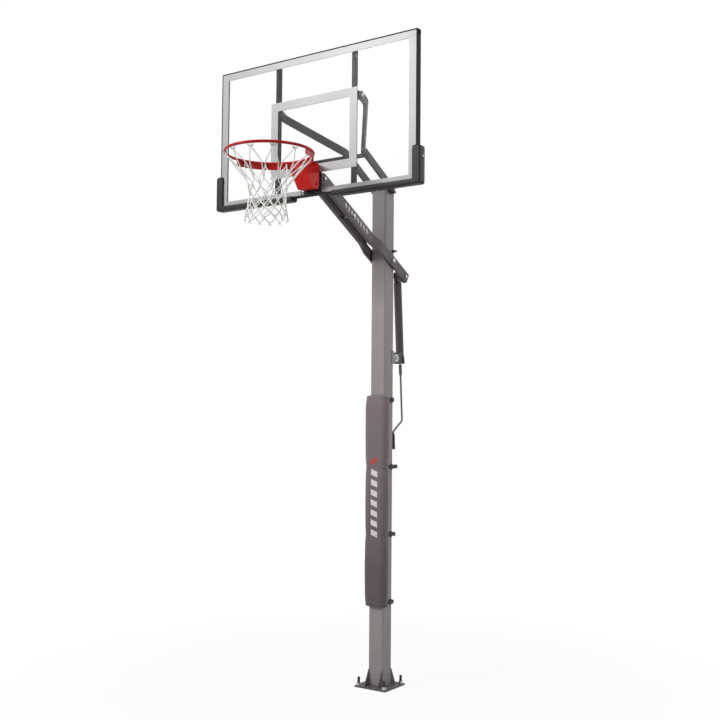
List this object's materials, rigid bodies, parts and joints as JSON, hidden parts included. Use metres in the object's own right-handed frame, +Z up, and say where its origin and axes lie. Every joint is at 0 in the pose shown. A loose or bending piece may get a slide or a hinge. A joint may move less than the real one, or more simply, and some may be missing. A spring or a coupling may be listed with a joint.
{
  "type": "basketball hoop",
  "caption": "Bolt-down basketball hoop: square pole, glass backboard on parallel lift arms set by a crank jack, sprung rim with net, pads.",
  "frame": {"origin": "centre of the base plate's underside, under the pole's axis", "axes": "+Z up along the pole; the backboard faces -Y, where the ring is; +X is to the right of a person who stands on the court and looks at the board"},
  "size_m": [1.436, 1.6, 3.7],
  "materials": {
    "pole_paint": "satin powder coat",
    "arm_paint": "satin powder coat",
    "frame_paint": "satin powder coat",
    "black_plastic": "moulded",
    "zinc_steel": "zinc plated",
    "black_bolt": "black oxide",
    "pad_vinyl": "coated fabric over foam",
    "pad_rubber": "moulded foam",
    "strap_webbing": "woven",
    "board_glass": "tempered, with printed white lines",
    "gasket_tape": "foam tape",
    "rim_red": "gloss powder coat",
    "rim_base_paint": "powder coat",
    "hook_wire": "painted wire",
    "net_cord": "braided nylon cord",
    "jack_paint": "satin powder coat",
    "crank_steel": "powder coat",
    "grip_plastic": "moulded"
  },
  "bodies": {
    "pole": {"base_plate": "pole_paint", "base_gussets": "pole_paint", "anchor_studs": "black_bolt", "anchor_nuts": "zinc_steel", "pole_tube": "pole_paint", "pole_cap": "black_plastic", "lower_pivot_bolt": "zinc_steel", "upper_pivot_bolt": "zinc_steel", "stop_bolt": "black_bolt", "pole_pad": "pad_vinyl", "pad_ties": "strap_webbing", "tie_knots": "black_plastic", "jack_bracket": "pole_paint", "jack_pivot_discs": "zinc_steel", "jack_pivot_bolt": "zinc_steel"},
    "lower_arms": {"lower_arm_right": "arm_paint", "lower_arm_left": "arm_paint", "lower_arm_spacer": "zinc_steel", "lower_arm_bushings": "black_plastic", "jack_top_bolt": "zinc_steel"},
    "upper_arms": {"upper_arm_right": "arm_paint", "upper_arm_left": "arm_paint", "upper_arm_spacer": "arm_paint", "upper_arm_bushings": "black_plastic"},
    "backboard": {"backboard_glass": "board_glass", "glass_gasket": "gasket_tape", "frame_left": "frame_paint", "frame_right": "frame_paint", "frame_top": "frame_paint", "frame_bottom": "frame_paint", "board_posts": "frame_paint", "crossbar": "frame_paint", "centre_plate": "frame_paint", "lower_brackets": "arm_paint", "upper_brackets": "arm_paint", "lower_board_bolt": "zinc_steel", "upper_board_bolts": "zinc_steel", "board_pad_left": "pad_rubber", "board_pad_right": "pad_rubber", "rim_base_bracket": "rim_base_paint", "rim_mount_bolts": "zinc_steel", "rim_hinge_pin": "zinc_steel", "rim_springs": "zinc_steel"},
    "rim": {"rim_ring": "rim_red", "rim_brace": "rim_red", "rim_top_plate": "rim_red", "rim_cover": "rim_red", "net_hooks": "hook_wire", "net": "net_cord"},
    "jack": {"jack_tube": "jack_paint", "jack_lug": "jack_paint", "jack_end_cap": "black_plastic"},
    "jack_rod": {"jack_inner_tube": "black_bolt", "jack_nut": "zinc_steel", "jack_top_lug": "jack_paint"},
    "crank": {"jack_screw": "zinc_steel", "crank_joint": "crank_steel", "crank_rod": "crank_steel"},
    "grip": {"crank_grip": "grip_plastic"}
  },
  "joints": [
    {"name": "lift", "type": "hinge", "parent": "pole", "child": "lower_arms", "pos_m": [0, 0.013, 2.603], "axis": [1, 0, 0], "range_deg": [0, 57.66]},
    {"name": "board_tilt", "type": "hinge", "parent": "lower_arms", "child": "backboard", "pos_m": [0, -0.68061, 2.98117], "axis": [1, 0, 0], "range_deg": [-57.66, 0]},
    {"name": "upper_arm_swing", "type": "hinge", "parent": "pole", "child": "upper_arms", "pos_m": [0, 0.013, 3.043], "axis": [1, 0, 0], "range_deg": [0, 57.66]},
    {"name": "rim_breakaway", "type": "hinge", "parent": "backboard", "child": "rim", "pos_m": [0, -0.757, 2.936], "axis": [1, 0, 0], "range_deg": [0, 20], "stiffness_Nm_per_rad": 400, "springref_deg": -22.92, "deforming": ["rim_springs"]},
    {"name": "jack_swing", "type": "hinge", "parent": "pole", "child": "jack", "pos_m": [0, 0.116, 2.003], "axis": [1, 0, 0], "range_deg": [-0.9556, 0.01]},
    {"name": "jack_stroke", "type": "slide", "parent": "jack", "child": "jack_rod", "axis": [0, -0.0715, 0.9974], "range_m": [0, 0.1675]},
    {"name": "crank_turn", "type": "hinge", "parent": "jack", "child": "crank", "pos_m": [0, 0.20677, 2.00951], "axis": [0, -0.0715, 0.9974], "range_deg": [0, 12025]},
    {"name": "grip_spin", "type": "hinge", "parent": "crank", "child": "grip", "pos_m": [0, 0.09904, 2.00178], "axis": [0, -0.0715, 0.9974], "continuous": true}
  ],
  "couplings": [
    {"joint": "board_tilt", "follows": "lift", "ratio": -1},
    {"joint": "upper_arm_swing", "follows": "lift", "ratio": 1},
    {"joint": "jack_swing", "follows": "lift", "ratio": -0.0164},
    {"joint": "jack_stroke", "follows": "lift", "m_per_rad": 0.16594},
    {"joint": "crank_turn", "follows": "lift", "ratio": 208.53}
  ]
}
